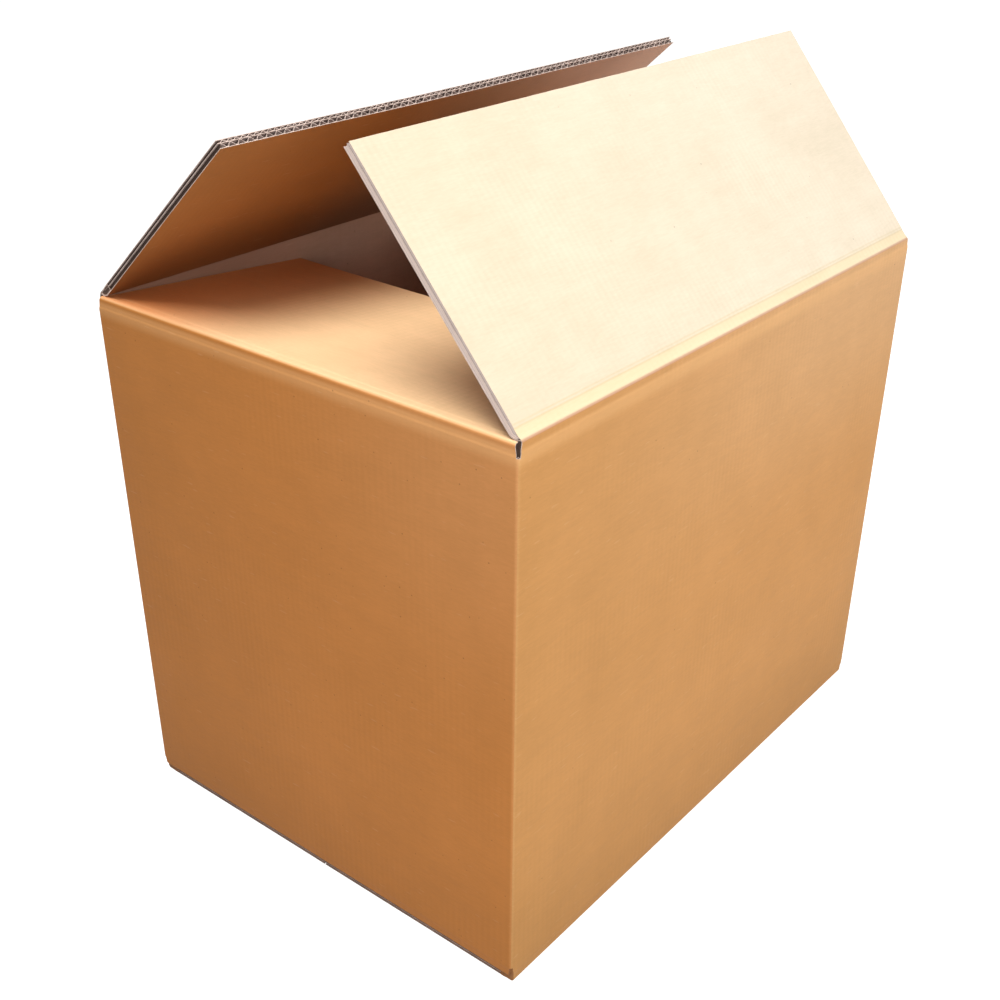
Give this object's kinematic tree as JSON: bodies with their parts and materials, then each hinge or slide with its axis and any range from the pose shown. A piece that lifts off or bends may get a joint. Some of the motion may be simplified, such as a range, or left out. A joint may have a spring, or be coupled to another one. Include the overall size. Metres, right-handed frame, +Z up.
{
  "type": "open cardboard box",
  "caption": "Open slotted carton of double-wall corrugated board: end flaps folded in, long flaps leaning on their creases.",
  "frame": {"origin": "middle of the footprint, on the surface the box stands on", "axes": "+X along the long panels, +Y from the front panel to the rear panel, +Z up"},
  "size_m": [0.6, 0.45, 0.6724],
  "materials": {
    "kraft_board": "matt kraft paper"
  },
  "bodies": {
    "carton": {"box_body": "kraft_board"},
    "front_flap": {"front_flap": "kraft_board"},
    "rear_flap": {"rear_flap": "kraft_board"}
  },
  "joints": [
    {"name": "front_flap_crease", "type": "hinge", "parent": "carton", "child": "front_flap", "pos_m": [0, -0.218, 0.5069], "axis": [1, 0, 0], "range_deg": [-49.6, 168.4]},
    {"name": "rear_flap_crease", "type": "hinge", "parent": "carton", "child": "rear_flap", "pos_m": [0, 0.218, 0.5069], "axis": [-1, 0, 0], "range_deg": [-42, 176]}
  ]
}
